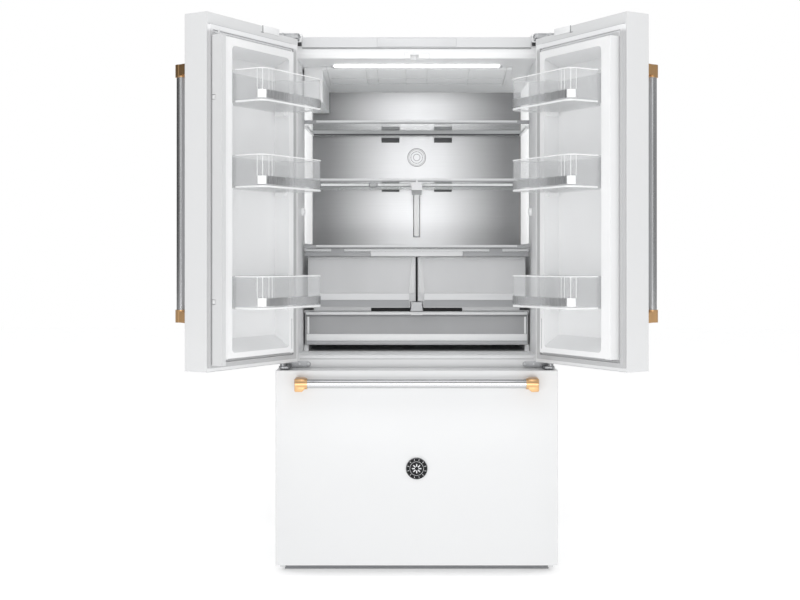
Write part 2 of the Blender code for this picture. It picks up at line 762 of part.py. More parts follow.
def mullion(liner, body):
    """The strip that closes the gap between the doors, hinged on the left door's liner.

    It is drawn across the gap, as with the doors closed.
    """
    x, y = MULLION_PIVOT
    high = MULLION_HIGH
    outline = arc((x, y), 0.0082, 206, 270, 4)
    outline += [(x + 0.033, y - 0.0082), (x + 0.033, y + 0.0098), (x - 0.0074, y + 0.0098)]
    strip = piece("flipper_mullion", prism("z", outline, (MULLION_LOW, high)), body,
                  "white_plastic")
    for level in MULLION_LUGS:
        reach = LUG_HALF + 0.0015
        z = (level - reach, level + reach)
        cut(strip, block((x - 0.02, x + 0.0085), (y - 0.02, y + 0.02), z))
        join(strip, prism("z", circle((x, y), 0.0028, 12), (z[0] - 0.004, z[1] + 0.004)))
        z = (level - LUG_HALF, level + LUG_HALF)
        join(liner, block((-RIM_FREE - 0.002, x + 0.005), (y - 0.005, y + 0.005), z))
        cut(liner, prism("z", circle((x, y), 0.0034, 12), (z[0] - 0.01, z[1] + 0.01)))
    pin = circle((x + MULLION_PIN_REACH, y), 0.003, 12)
    join(strip, prism("z", pin, (high - 0.004, 1.6965)))


def freezer_drawer(body):
    """Drawer front, inner liner, gasket, handle, basket and the moving slide members."""
    pan = block((-DOOR_SPAN, DOOR_SPAN), (0, FRONT_DEPTH), (DRAWER_LOW, DRAWER_TOP))
    front = piece("drawer_front", soften(pan, EDGE_ROUND, is_front_edge), body,
                  "gloss_white_paint")
    inner = DOOR_SPAN - STEEL
    cut(front, block((-inner, inner), (STEEL, 0.2), (DRAWER_LOW + STEEL, DRAWER_TOP - STEEL)))

    inner -= GAP
    z = (DRAWER_LOW + STEEL + GAP, DRAWER_TOP - STEEL - GAP)
    liner = piece("drawer_liner", block((-inner, inner), (FRONT_DEPTH - WALL, FRONT_DEPTH), z),
                  body, "white_plastic")
    join(liner, block((-0.380, 0.380), (FRONT_DEPTH - WALL, 0.100), (0.097, 0.628)))
    cut(liner, block((-0.377, 0.377), (0.05, 0.097), (0.100, 0.625)))

    seal = block((-0.4305, 0.4305), (FRONT_DEPTH + GAP, CABINET_FACE - GAP), (0.0725, 0.6640))
    gasket = piece("drawer_gasket", seal, body, "rubber")
    cut(gasket, block((-0.4165, 0.4165), (0.05, 0.15), (0.0865, 0.6500)))

    reach = DRAWER_HANDLE_HALF - 0.0115
    tube = prism("x", circle((-TUBE_OUT, DRAWER_HANDLE_Z), TUBE_RADIUS, 20), (-reach, reach))
    piece("drawer_handle", tube, body, "brushed_steel")
    for name, side in SIDES.items():
        def spot(along, across, out, side=side):
            """A point of the casting: along the tube from its end, across it, and out."""
            return (side * (DRAWER_HANDLE_HALF - along), -out, DRAWER_HANDLE_Z - across)

        bracket(f"drawer_bracket_{name}", spot, body)
        x = (side * 0.3740, side * 0.3885)
        member = (SLIDE_LOW + 0.0065, 0.4398)
        bar = piece(f"slide_inner_{name}", block(x, (FRONT_DEPTH + 0.0155, 0.578), member), body,
                    "galvanised_steel")
        cut(bar, block((side * 0.3700, side * 0.3865), (0.130, 0.6), (member[0] - 0.01, 0.4368)))
    basket = piece("freezer_basket", block((-0.373, 0.373), (0.112, 0.398), (0.100, 0.443)),
                   body, "clear_plastic")
    join(basket, block((-0.3775, 0.3775), (0.112, 0.398), (0.4403, 0.443)))
    inner = 0.373 - WALL
    cut(basket, block((-inner, inner), (0.112 + WALL, 0.398 - WALL), (0.100 + WALL, 0.5)))


def slides(body):
    """Fixed slide channels on the side walls of the freezer."""
    for name, side in SIDES.items():
        channel = piece(
            f"slide_outer_{name}",
            block((side * 0.3785, side * 0.3926), (0.110, 0.586), (SLIDE_LOW, SLIDE_HIGH)),
            body,
            "galvanised_steel",
        )
        x = (side * 0.3700, side * 0.3906)
        cut(channel, block(x, (0.100, 0.584), (SLIDE_LOW + 0.002, SLIDE_HIGH - 0.002)))



def make_bodies():
    """The cabinet, and each moving body on its joint's axis."""
    def add(name, pivot, parent=None):
        BODIES[name] = Body(name, pivot, parent)
        return BODIES[name]

    cabinet = add("cabinet", (0, 0, 0))
    for name, side in SIDES.items():
        add(f"{name}_door", (side * HINGE_X, HINGE_Y, DOOR_LOW), cabinet)
        add(f"{name}_crisper", (side * 0.19, CRISPER_FACE, 0.859), cabinet)
        add(f"{name}_slider", (side * SLIDER_X, APRON[0], 1.050), cabinet)
        add(f"{name}_roller", (side * ROLLER_X, 0.630, ROLLER_RADIUS), cabinet)
    add("mullion", (*MULLION_PIVOT, MULLION_LOW), BODIES["left_door"])
    add("deli", (0, DRAWER_FACE, 0.730), cabinet)
    add("freezer", (0, 0, DRAWER_LOW), cabinet)


def set_rest_pose():
    """Doors open, with the mullion folded back, and the origin under the middle."""
    BODIES["left_door"].empty.rotation_euler.z = -OPEN_ANGLE
    BODIES["right_door"].empty.rotation_euler.z = OPEN_ANGLE
    BODIES["mullion"].empty.rotation_euler.z = math.pi / 2
    BODIES["cabinet"].empty.location.y = -CENTRE_Y


def main():
    clear_scene()
    make_bodies()
    cabinet = BODIES["cabinet"]
    outer_case(cabinet)
    liners(cabinet)
    base(cabinet)
    feet_and_rollers(cabinet, {name: BODIES[f"{name}_roller"] for name in SIDES})
    top_trim(cabinet)
    hinges(cabinet)
    rear_wall(cabinet)
    fittings(cabinet)
    shelves(cabinet)
    slides(cabinet)
    machine_space(cabinet)
    door("right", 1, BODIES["right_door"])
    left_liner = door("left", -1, BODIES["left_door"])
    mullion(left_liner, BODIES["mullion"])
    for name, side in SIDES.items():
        crisper(name, side, BODIES[f"{name}_crisper"])
        humidity_slider(name, side, BODIES[f"{name}_slider"])
    deli_drawer(BODIES["deli"])
    freezer_drawer(BODIES["freezer"])
    set_rest_pose()


main()
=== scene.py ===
import json
import math

import bmesh
import bpy
from mathutils import Matrix, Vector


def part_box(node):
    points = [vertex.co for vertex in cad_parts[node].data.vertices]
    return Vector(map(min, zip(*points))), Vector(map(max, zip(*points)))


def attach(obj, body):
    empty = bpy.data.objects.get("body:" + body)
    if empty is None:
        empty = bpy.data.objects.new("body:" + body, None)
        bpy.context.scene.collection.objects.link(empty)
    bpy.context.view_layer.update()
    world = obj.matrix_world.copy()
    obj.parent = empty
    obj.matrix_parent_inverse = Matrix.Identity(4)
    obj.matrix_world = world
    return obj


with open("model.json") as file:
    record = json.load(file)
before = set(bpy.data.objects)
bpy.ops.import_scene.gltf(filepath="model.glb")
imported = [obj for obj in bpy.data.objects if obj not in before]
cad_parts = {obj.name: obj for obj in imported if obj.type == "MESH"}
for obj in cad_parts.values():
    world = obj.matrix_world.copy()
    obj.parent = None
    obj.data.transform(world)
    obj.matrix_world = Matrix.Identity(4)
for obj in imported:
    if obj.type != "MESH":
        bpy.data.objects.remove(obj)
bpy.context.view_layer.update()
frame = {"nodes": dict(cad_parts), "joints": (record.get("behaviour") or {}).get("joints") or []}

NODES = frame["nodes"]
JOINTS = {joint["name"]: joint for joint in frame["joints"]}
SIDES = (("left", -1), ("right", 1))
SIGNS = (-1, 1)

# ---------------------------------------------------------------- places
# Lengths are in metres. Pieces are drawn as in the closed refrigerator, where x is 0 in the middle,
# y is 0 at the door fronts and z is 0 at the floor.
WRAPPER_FRONT = 0.097  # y of the front of the case
SHIFT_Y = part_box("outer_wrapper")[0].y - WRAPPER_FRONT
CABINET = Matrix.Translation((0, SHIFT_Y, 0))
DOOR_SWING = math.radians(120.5)


def door_place(side, name):
    """The matrix that takes a piece drawn on the closed door to the open door."""
    hinge = Vector(JOINTS[name + "_door_hinge"]["pos_m"])
    hinge.z = 0
    turn = Matrix.Rotation(side * DOOR_SWING, 4, "Z")
    return Matrix.Translation(hinge) @ turn @ Matrix.Translation(-hinge) @ CABINET


def closed_box(node):
    """The lowest and highest corners of a cabinet or drawer node in the closed refrigerator."""
    shift = Vector((0, SHIFT_Y, 0))
    return [Vector(corner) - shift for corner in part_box(node)]


DOOR_PLACES = {name + "_door": door_place(side, name) for name, side in SIDES}

# Levels and planes of the CAD that the pieces are fitted to.
TOP_SHELF = closed_box("top_shelf")[1].z
HALF_SHELF = closed_box("half_shelf_left")[1].z
CRISPER_COVER = closed_box("crisper_cover")[1].z
PANEL_FACE = closed_box("rear_wall_panel")[1].y - 0.0021
BIN_LOWS = [(level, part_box("door_bin_left_" + level)[0].z) for level in ("top", "middle", "bottom")]
BIN_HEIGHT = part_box("door_bin_left_top")[1].z - BIN_LOWS[0][1]

# Places and sizes of details, in the closed refrigerator.
HINGE_PIN = (0.434, 0.041)  # x, y
DUCT_FRONT = (0.262, 1.6760)  # y, z
DUCT_BACK = (0.470, 1.6480)  # y, z
DUCT_RISE = 0.0075
DUCT_GAP = 0.0003
DUCT_CUTS = (-0.3075, -0.174, -0.1356, -0.0375, 0.036, 0.1797, 0.3075)
EMBLEM_Z = 1.401
DOT_COUNT = 24
DOT_RADIUS = 0.0215
VENT_X = (0.0640, 0.1300)
UPPER_VENTS = ((1.4990, 1.5150), (1.3100, 1.3165))
LOWER_VENTS = ((1.4570, 1.4730), (1.2755, 1.2830))
WALL_CAP = (0.251, 1.1865)  # y, z
SHELF_HALF = 0.3845
SHELF_END = 0.042
HALF_SHELF_START = 0.0030
BIN_FRONT = 0.235
BIN_REAR = 0.1300
BIN_WIDE = (0.0800, 0.3855)
BIN_CORNER = 0.026
BIN_CLEARANCE = 0.0002
RIB_HALF = 0.0010
RIB_OUT = 0.0007
BADGE_Z = 0.353
GASKET_FOLD = ((0.0854, 0.0915), 0.0045, 0.010)  # depth, width, corner
HANDLE_CAP = (0.0050, -0.0672, -0.0640)  # radius, front, back
PANEL_SCREW = (0.0048, 0.7012, 0.7046)  # radius, front, back
COVER_SCREW = (0.0048, 0.7018, 0.7050)  # radius, front, back
WATER_INLET = (0.360, 0.160)  # x, z

# How finely round things are drawn, and which edges are softened or shown sharp.
ROUND_STEPS = 5
CORNER_STEPS = 10
HOOP_SIDES = 56
SHARP_EDGE = 0.6  # radians
SMOOTH_LIMIT = math.radians(35)
LEAST_CORNER = 0.0003
LEAST_MITER = 0.5

# Heights of the surface relief.
PAINT_PEEL = 0.000003
PLASTIC_GRAIN = 0.000005
BRUSH_GRAIN = 0.000004
ZINC_GRAIN = 0.00002

# Painted light and shade by place on the object: (share of the span, level) pairs.
WALL_SHADE = ((0.0, 1.0), (0.25, 0.93), (0.55, 0.70), (0.85, 0.44), (1.0, 0.36))
ARM_SHADE = ((0.0, 0.70), (0.90, 0.70), (0.965, 1.0))
BAND_SHADE = (
    (0.0, 0.36), (0.10, 0.44), (0.22, 0.84), (0.42, 1.0), (0.62, 0.98), (0.78, 0.66), (1.0, 0.60),
)
GASKET_SHADE = ((0.0, 0.60), (0.955, 0.60), (0.965, 1.0))
BELLOWS_SHADE = ((0.0, 0.58), (0.940, 0.58), (0.952, 1.0))
GASKET_SPAN = (0.7, 1.74)

# The studio: camera, world and floor.
CAMERA_Y = -3.984
CAMERA_Z = 1.026
FOCAL_LENGTH = 55.8
SENSOR_WIDTH = 36
FRAME_SHIFT = (-0.020875, -0.05125)
SOFT_LIGHT = 0.68
SOFT_COLOUR = (0.995, 0.997, 1, 1)
FLOOR_GLOW = 0.40
FLOOR_HALF = 14.0
GLOSS_BY_HEIGHT = (
    (0.0, 0.50), (0.42, 0.46), (0.52, 0.58), (0.60, 0.90),
    (0.70, 0.92), (0.78, 0.20), (0.86, 0.08), (1.0, 0.06),
)
GLOSS_BY_SIDE = (
    (0.0, 0.12), (0.14, 0.16), (0.30, 1.0), (0.52, 1.0), (0.70, 0.55), (0.84, 0.45), (1.0, 0.60),
)
LIGHTS = (  # name, location, aim, size, watts
    ("front_strip", (0, -4.4, 1.75), (0, 0, 1.25), (0.30, 1.5), 7.2),
    ("top_fill", (0, -1.6, 3.4), (0, 0.0, 0.4), (3.0, 2.4), 30),
    ("low_fill", (0, -2.6, 0.35), (0, 0.2, 1.5), (1.8, 0.6), 10),
)


# ---------------------------------------------------------------- materials
def set_stops(ramp, stops):
    """Gives a colour ramp its grey stops."""
    elements = ramp.color_ramp.elements
    while len(elements) < len(stops):
        elements.new(0.5)
    for element, (where, level) in zip(elements, stops):
        element.position = where
        element.color = (level, level, level, 1)


class Finish:
    """One procedural material: a Principled shader with noise for colour, roughness and bump."""

    def __init__(self, name, colour, rough, metallic=0.0, **sockets):
        self.material = bpy.data.materials.new(name)
        self.material.use_nodes = True
        self.tree = self.material.node_tree
        self.tree.nodes.clear()
        self.output = self.tree.nodes.new("ShaderNodeOutputMaterial")
        self.shader = self.tree.nodes.new("ShaderNodeBsdfPrincipled")
        self.shader.inputs["Base Color"].default_value = (*colour, 1)
        self.shader.inputs["Roughness"].default_value = rough
        self.shader.inputs["Metallic"].default_value = metallic
        for socket, value in sockets.items():
            self.shader.inputs[socket.replace("_", " ")].default_value = value
        self.join(self.shader.outputs[0], self.output.inputs["Surface"])
        self.colour = colour
        self.rough = rough

    def node(self, kind, **values):
        """A shader node whose keywords are its own settings or its input sockets."""
        made = self.tree.nodes.new("ShaderNode" + kind)
        for key, value in values.items():
            if hasattr(made, key):
                setattr(made, key, value)
            else:
                made.inputs[key.replace("_", " ")].default_value = value
        return made

    def join(self, source, target):
        self.tree.links.new(source, target)

    def noise(self, scale, stretch=(1, 1, 1), detail=3.0):
        """Noise in object space, stretched along an axis where stretch is small."""
        place = self.node("TexCoord")
        mapping = self.node("Mapping")
        mapping.inputs["Scale"].default_value = stretch
        texture = self.node("TexNoise", Scale=scale, Detail=detail)
        self.join(place.outputs["Object"], mapping.inputs["Vector"])
        self.join(mapping.outputs[0], texture.inputs["Vector"])
        return texture.outputs["Fac"]

    def vary_colour(self, value, dark, light):
        """The base colour times dark where the value is low, and times light where it is high."""
        ramp = self.node("ValToRGB")
        ramp.color_ramp.elements[0].position = 0.3
        ramp.color_ramp.elements[1].position = 0.7
        ramp.color_ramp.elements[0].color = (*[min(1, c * dark) for c in self.colour], 1)
        ramp.color_ramp.elements[1].color = (*[min(1, c * light) for c in self.colour], 1)
        self.join(value, ramp.inputs["Fac"])
        self.join(ramp.outputs["Color"], self.shader.inputs["Base Color"])

    def vary_rough(self, value, spread):
        """Roughness from a value near 0.3 to 0.7, within spread of the middle one."""
        low, high = self.rough - spread, self.rough + spread
        ramp = self.node("MapRange", From_Min=0.3, From_Max=0.7, To_Min=low, To_Max=high)
        self.join(value, ramp.inputs["Value"])
        self.join(ramp.outputs[0], self.shader.inputs["Roughness"])

    def bump(self, value, distance, strength=1.0):
        made = self.node("Bump", Distance=distance, Strength=strength)
        self.join(value, made.inputs["Height"])
        self.join(made.outputs[0], self.shader.inputs["Normal"])


def painted(name, colour, rough, **sockets):
    """Enamel paint with a faint orange peel."""
    made = Finish(name, colour, rough, **sockets)
    made.vary_colour(made.noise(2.2, detail=1.0), 0.992, 1.006)
    made.vary_rough(made.noise(9.0, detail=1.0), 0.02)
    made.bump(made.noise(420, detail=1.0), PAINT_PEEL)
    return made


def moulded(name, colour, rough, **sockets):
    """Moulded plastic with a fine texture and slow flow marks."""
    made = Finish(name, colour, rough, **sockets)
    made.vary_colour(made.noise(5.0, (1, 1, 0.4), 1.0), 0.985, 1.01)
    made.vary_rough(made.noise(60, detail=1.0), 0.04)
    made.bump(made.noise(900, detail=2.0), PLASTIC_GRAIN)
    return made


def lit(name, colour, rough, strength):
    """Moulded plastic that gives off some light of its own."""
    return moulded(name, colour, rough, Emission_Strength=strength, Emission_Color=(1, 1, 1, 1))


def brushed(name, colour, rough, stretch, **sockets):
    """Brushed metal whose grain runs along the axis that stretch makes small."""
    made = Finish(name, colour, rough, 1.0, **sockets)
    lines = made.noise(900, stretch, 2.0)
    made.vary_colour(lines, 0.965, 1.02)
    made.vary_rough(lines, 0.025)
    made.bump(lines, BRUSH_GRAIN, 0.5)
    return made


def clear(name, colour, rough, alpha):
    """Clear moulded plastic or glass, with faint flow marks."""
    made = Finish(name, colour, rough, Alpha=alpha)
    made.vary_colour(made.noise(7.0, (1, 1, 0.3)), 0.96, 1.03)
    made.vary_rough(made.noise(30), 0.02)
    return made


def galvanised(name, colour, rough):
    """Zinc-coated sheet with a soft spangle."""
    made = Finish(name, colour, rough, 1.0)
    cells = made.node("TexVoronoi", Scale=85.0)
    place = made.node("TexCoord")
    made.join(place.outputs["Object"], cells.inputs["Vector"])
    made.vary_colour(cells.outputs["Color"], 0.88, 1.06)
    made.vary_rough(made.noise(40), 0.06)
    made.bump(made.noise(300), ZINC_GRAIN)
    return made


def by_place(made, axis, stops, span, is_mirrored=False):
    """Scales a finish's base colour along an axis of the object, by grey stops over a span."""
    place = made.node("TexCoord")
    split = made.node("SeparateXYZ")
    along = made.node("MapRange", From_Min=span[0], From_Max=span[1])
    ramp = made.node("ValToRGB")
    tint = made.node("VectorMath", operation="MULTIPLY")
    value = split.outputs[axis]
    made.join(place.outputs["Object"], split.inputs[0])
    if is_mirrored:
        reach = made.node("Math", operation="ABSOLUTE")
        made.join(value, reach.inputs[0])
        value = reach.outputs[0]
    set_stops(ramp, stops)
    made.join(value, along.inputs["Value"])
    made.join(along.outputs[0], ramp.inputs["Fac"])
    made.join(made.shader.inputs["Base Color"].links[0].from_socket, tint.inputs[0])
    made.join(ramp.outputs["Color"], tint.inputs[1])
    made.join(tint.outputs[0], made.shader.inputs["Base Color"])
    return made


def rear_panel_steel():
    """Brushed steel with painted shade: its colour darkens towards the sides of the wall, a painted
    falloff of the wall's reflection, and is painted darker on the shelf arm in front of it.
    """
    made = brushed(
        "brushed_rear_panel", (0.62, 0.625, 0.635), 0.30, (0.006, 1, 1),
        Anisotropic=0.5, Anisotropic_Rotation=0.25,
    )
    by_place(made, "X", WALL_SHADE, (0.0, 0.3835), True)
    by_place(made, "Y", ARM_SHADE, (0.08, 0.43))
    return made


WHITE = painted("gloss_white_enamel", (0.72, 0.725, 0.73), 0.30, Coat_Weight=0.25, Coat_Roughness=0.12)
ENAMEL = painted("black_enamel", (0.008, 0.008, 0.009), 0.5, Specular_IOR_Level=0.2)
LINER = moulded("white_liner_plastic", (0.88, 0.885, 0.89), 0.42)
DOOR_LINER = moulded("white_door_liner_plastic", (0.82, 0.825, 0.83), 0.42)
# Painted light: a lighter copy of the door liner's plastic for its raised frame.
LINER_FRAME_PAINTED_LIGHT = moulded("liner_frame_painted_light", (0.87, 0.873, 0.877), 0.38)
MULLION = moulded("mullion_plastic", (0.64, 0.645, 0.65), 0.45)
TRIM = moulded("white_trim_plastic", (0.87, 0.875, 0.88), 0.34)
COVER = moulded("pale_cover_plastic", (0.66, 0.665, 0.675), 0.40)
DUCT = moulded("light_duct_plastic", (0.90, 0.905, 0.91), 0.42)
GREY = moulded("pale_grey_plastic", (0.50, 0.505, 0.515), 0.45)
SHADED = moulded("shaded_grey_plastic", (0.33, 0.335, 0.345), 0.45)
MID_GREY = moulded("mid_grey_plastic", (0.24, 0.245, 0.255), 0.5)
DARK_VENT = moulded("dark_vent_plastic", (0.09, 0.092, 0.095), 0.5)
DARK = moulded("dark_plastic", (0.035, 0.035, 0.038), 0.5)
GASKET = moulded("gasket_vinyl", (0.84, 0.845, 0.855), 0.6)
# Painted shade and light: the gaskets and bellows are darkened to 0.6, and only a narrow strip along
# the doors' top keeps the full white.
by_place(GASKET, "Z", GASKET_SHADE, GASKET_SPAN)
BELLOWS = moulded("gasket_bellows_vinyl", (0.86, 0.865, 0.875), 0.6)
by_place(BELLOWS, "Z", BELLOWS_SHADE, GASKET_SPAN)
LAMP = lit("lamp_lens", (0.95, 0.95, 0.95), 0.3, 2.2)
# Painted light: the rear rail cover glows, though it is no lamp.
RAIL_COVER_GLOW = lit("rail_cover_painted_glow", (0.86, 0.865, 0.87), 0.4, 0.26)
# Painted light: the half shelves' rear lips glow, though they are no lamps.
LIT_LIP = lit("lit_shelf_lip", (0.88, 0.885, 0.89), 0.4, 0.20)
# Painted light: the strips beside the rear wall glow, though they are no lamps.
GLOW = lit("lit_side_panel", (0.88, 0.885, 0.89), 0.4, 0.55)
BACK_STEEL = galvanised("zinc_coated_steel", (0.56, 0.57, 0.58), 0.42)
HINGE_STEEL = brushed("hinge_steel", (0.33, 0.335, 0.345), 0.38, (1, 1, 0.05))
TUBE_V = brushed("brushed_handle_steel_upright", (0.56, 0.565, 0.575), 0.20, (1, 1, 0.01))
TUBE_H = brushed("brushed_handle_steel_level", (0.56, 0.565, 0.575), 0.16, (0.01, 1, 1))
PANEL = rear_panel_steel()
BAND = brushed("brushed_bin_band", (0.82, 0.825, 0.835), 0.26, (1, 1, 0.02))
# Painted reflection: the bin band's colour is scaled dark, bright and dim again along x.
by_place(BAND, "X", BAND_SHADE, (0.28, 0.435), True)
BRASS = brushed("brushed_bronze", (0.71, 0.44, 0.22), 0.32, (0.03, 1, 1))
WIRE = brushed("satin_wire", (0.55, 0.555, 0.57), 0.35, (0.05, 1, 1))
GLASS = clear("tempered_glass", (0.84, 0.88, 0.87), 0.06, 0.16)
CLEAR = clear("clear_bin_plastic", (0.72, 0.73, 0.74), 0.08, 0.20)
RIM = clear("clear_rim_plastic", (0.95, 0.955, 0.96), 0.12, 0.75)
SOFT_RIM = clear("soft_rim_plastic", (0.90, 0.905, 0.91), 0.2, 0.45)
CRISPER = clear("frosted_crisper_plastic", (0.74, 0.745, 0.755), 0.22, 0.60)
DELI = clear("frosted_deli_plastic", (0.50, 0.505, 0.515), 0.25, 0.62)

BY_NODE = {
    "outer_wrapper": WHITE,
    "back_panel": BACK_STEEL,
    "machine_cover": BACK_STEEL,
    "fresh_food_liner": LINER,
    "freezer_liner": LINER,
    "base_frame": BACK_STEEL,
    "kick_plate": MID_GREY,
    "leveling_foot": DARK,
    "top_front_cover": COVER,
    "upper_hinge": BACK_STEEL,
    "lower_hinge": HINGE_STEEL,
    "humidity_slider": SHADED,
    "rear_wall_panel": PANEL,
    "water_filter_housing": TRIM,
    "mullion_guide": TRIM,
    "top_shelf": GLASS,
    "half_shelf": GLASS,
    "crisper_cover": GLASS,
    "crisper_shelf": GREY,
    "slide_outer": BACK_STEEL,
    "slide_inner": BACK_STEEL,
    "compressor": ENAMEL,
    "door_shell": WHITE,
    "door_liner": DOOR_LINER,
    "door_gasket": GASKET,
    "drawer_gasket": GASKET,
    "door_handle": TUBE_V,
    "drawer_handle": TUBE_H,
    "door_bracket": BRASS,
    "drawer_bracket": BRASS,
    "door_bin": CLEAR,
    "flipper_mullion": MULLION,
    "drawer_front": WHITE,
    "drawer_liner": DOOR_LINER,
    "freezer_basket": GREY,
    "deli_drawer": DELI,
    "crisper_left": CRISPER,
    "crisper_right": CRISPER,
    "rear_roller": DARK,
}


def dress_nodes():
    """Gives each CAD node its finish."""
    for name, node in NODES.items():
        starts = [key for key in BY_NODE if name.startswith(key)]
        finish = BY_NODE[max(starts, key=len)]
        for slot in node.material_slots:
            slot.material = finish.material
        if not node.material_slots:
            node.data.materials.append(finish.material)


# ---------------------------------------------------------------- shapes
class Shape:
    """Closed bodies gathered into one mesh, drawn as in the closed refrigerator."""

    def __init__(self):
        self.mesh = bmesh.new()

    def prism(self, outline, low, high, axis="y", soft=0.0, segments=2):
        """An outline pushed from low to high along an axis, with softened edges."""
        order = {"x": (2, 0, 1), "y": (0, 2, 1), "z": (0, 1, 2)}[axis]
        rings = []
        for level in (low, high):
            points = [(u, v, level) for u, v in outline]
            rings.append([self.mesh.verts.new([p[i] for i in order]) for p in points])
        faces = [self.mesh.faces.new(rings[0][::-1]), self.mesh.faces.new(rings[1])]
        count = len(outline)
        for i in range(count):
            j = (i + 1) % count
            faces.append(self.mesh.faces.new([rings[0][i], rings[0][j], rings[1][j], rings[1][i]]))
        self.mesh.normal_update()
        bmesh.ops.recalc_face_normals(self.mesh, faces=faces)
        if soft:
            edges = list({edge for face in faces for edge in face.edges})
            sharp = [edge for edge in edges if edge.calc_face_angle(0) > SHARP_EDGE]
            bmesh.ops.bevel(
                self.mesh, geom=sharp, offset=soft, segments=segments, affect="EDGES", profile=0.5
            )
        return self

    def block(self, x, y, z, soft=0.0006):
        """A box over three spans."""
        outline = [(x[0], z[0]), (x[1], z[0]), (x[1], z[1]), (x[0], z[1])]
        return self.prism(outline, y[0], y[1], "y", soft)

    def slab(self, x, y, z, corner, axis="y", soft=0.0005):
        """A block with rounded corners in the plane across the axis."""
        spans = {"y": (x, z, y), "z": (x, y, z), "x": (y, z, x)}[axis]
        return self.prism(rounded(spans[0], spans[1], corner), *spans[2], axis, soft)

    def ring(self, x, z, y, width, corner):
        """A flat frame with rounded corners that faces the front."""
        outer = rounded(x, z, corner)
        inner = rounded(inset(x, width), inset(z, width), max(corner - width, LEAST_CORNER))
        return self.frame_of(outer, inner, y)

    def frame_of(self, outer, inner, y):
        """A flat frame between two outlines with the same number of points, over a span in depth."""
        loops = []
        for outline, level in ((outer, y[0]), (outer, y[1]), (inner, y[1]), (inner, y[0])):
            loops.append([self.mesh.verts.new((u, level, v)) for u, v in outline])
        faces = []
        count = len(outer)
        for a in range(4):
            first, second = loops[a], loops[(a + 1) % 4]
            for i in range(count):
                j = (i + 1) % count
                faces.append(self.mesh.faces.new([first[i], first[j], second[j], second[i]]))
        self.mesh.normal_update()
        bmesh.ops.recalc_face_normals(self.mesh, faces=faces)
        return self

    def disc(self, centre, radius, low, high, axis="y", soft=0.0005, sides=40):
        """A round plate or pin from low to high along an axis."""
        outline = circle(centre, radius, sides)
        return self.prism(outline, low, high, axis, soft)

    def hoop(self, centre, radius, width, y):
        """A thin round ring that faces the front."""
        outer = circle(centre, radius, HOOP_SIDES)
        return self.frame_of(outer, circle(centre, radius - width, HOOP_SIDES), y)

    def sweep(self, outline, path):
        """A profile of (out, up) points carried along an open, level path of (x, y) points."""
        rings = []
        for i, point in enumerate(path):
            before = path[max(i - 1, 0)]
            after = path[min(i + 1, len(path) - 1)]
            along = (Vector(after) - Vector(before)).normalized()
            out = Vector((along.y, -along.x))
            corner = max(LEAST_MITER, abs(out.dot(segment_out(path, i))))
            place = [Vector(point) + out * (u / corner) for u, v in outline]
            rings.append([self.mesh.verts.new((p.x, p.y, v)) for p, (u, v) in zip(place, outline)])
        faces = []
        sides = len(outline)
        for first, second in zip(rings, rings[1:]):
            for k in range(sides):
                m = (k + 1) % sides
                faces.append(self.mesh.faces.new([first[k], first[m], second[m], second[k]]))
        faces.append(self.mesh.faces.new(rings[0][::-1]))
        faces.append(self.mesh.faces.new(rings[-1]))
        self.mesh.normal_update()
        bmesh.ops.recalc_face_normals(self.mesh, faces=faces)
        return self

    def finish(self, name, body, finish, slot):
        """Puts the shape in the scene on its body."""
        data = bpy.data.meshes.new(name)
        self.mesh.transform(DOOR_PLACES.get(body, CABINET))
        self.mesh.to_mesh(data)
        self.mesh.free()
        piece = bpy.data.objects.new(name, data)
        bpy.context.scene.collection.objects.link(piece)
        data.materials.append(finish.material)
        for polygon in data.polygons:
            polygon.use_smooth = True
        data.set_sharp_from_angle(angle=SMOOTH_LIMIT)
        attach(piece, body)
        return piece


def segment_out(path, i):
    """The outward direction of the segment that leaves a point, or of the last segment at the end."""
    i = min(i, len(path) - 2)
    along = (Vector(path[i + 1]) - Vector(path[i])).normalized()
    return Vector((along.y, -along.x))


def inset(span, width):
    """A span made narrower by a width at both ends."""
    return (span[0] + width, span[1] - width)


def circle(centre, radius, sides):
    """A circle's outline as a polygon."""
    turn = 2 * math.pi / sides
    return [
        (centre[0] + radius * math.cos(i * turn), centre[1] + radius * math.sin(i * turn))
        for i in range(sides)
    ]


def rounded(across, up, radius):
    """A rectangle's outline with rounded corners."""
    points = []
    centres = (
        (across[1] - radius, up[1] - radius, 0),
        (across[0] + radius, up[1] - radius, 90),
        (across[0] + radius, up[0] + radius, 180),
        (across[1] - radius, up[0] + radius, 270),
    )
    for cx, cy, start in centres:
        for k in range(ROUND_STEPS + 1):
            angle = math.radians(start + 90 * k / ROUND_STEPS)
            points.append((cx + radius * math.cos(angle), cy + radius * math.sin(angle)))
    return points


def both(side, low, high):
    """The span from low to high on one side of the middle, in rising order."""
    return (low, high) if side > 0 else (-high, -low)


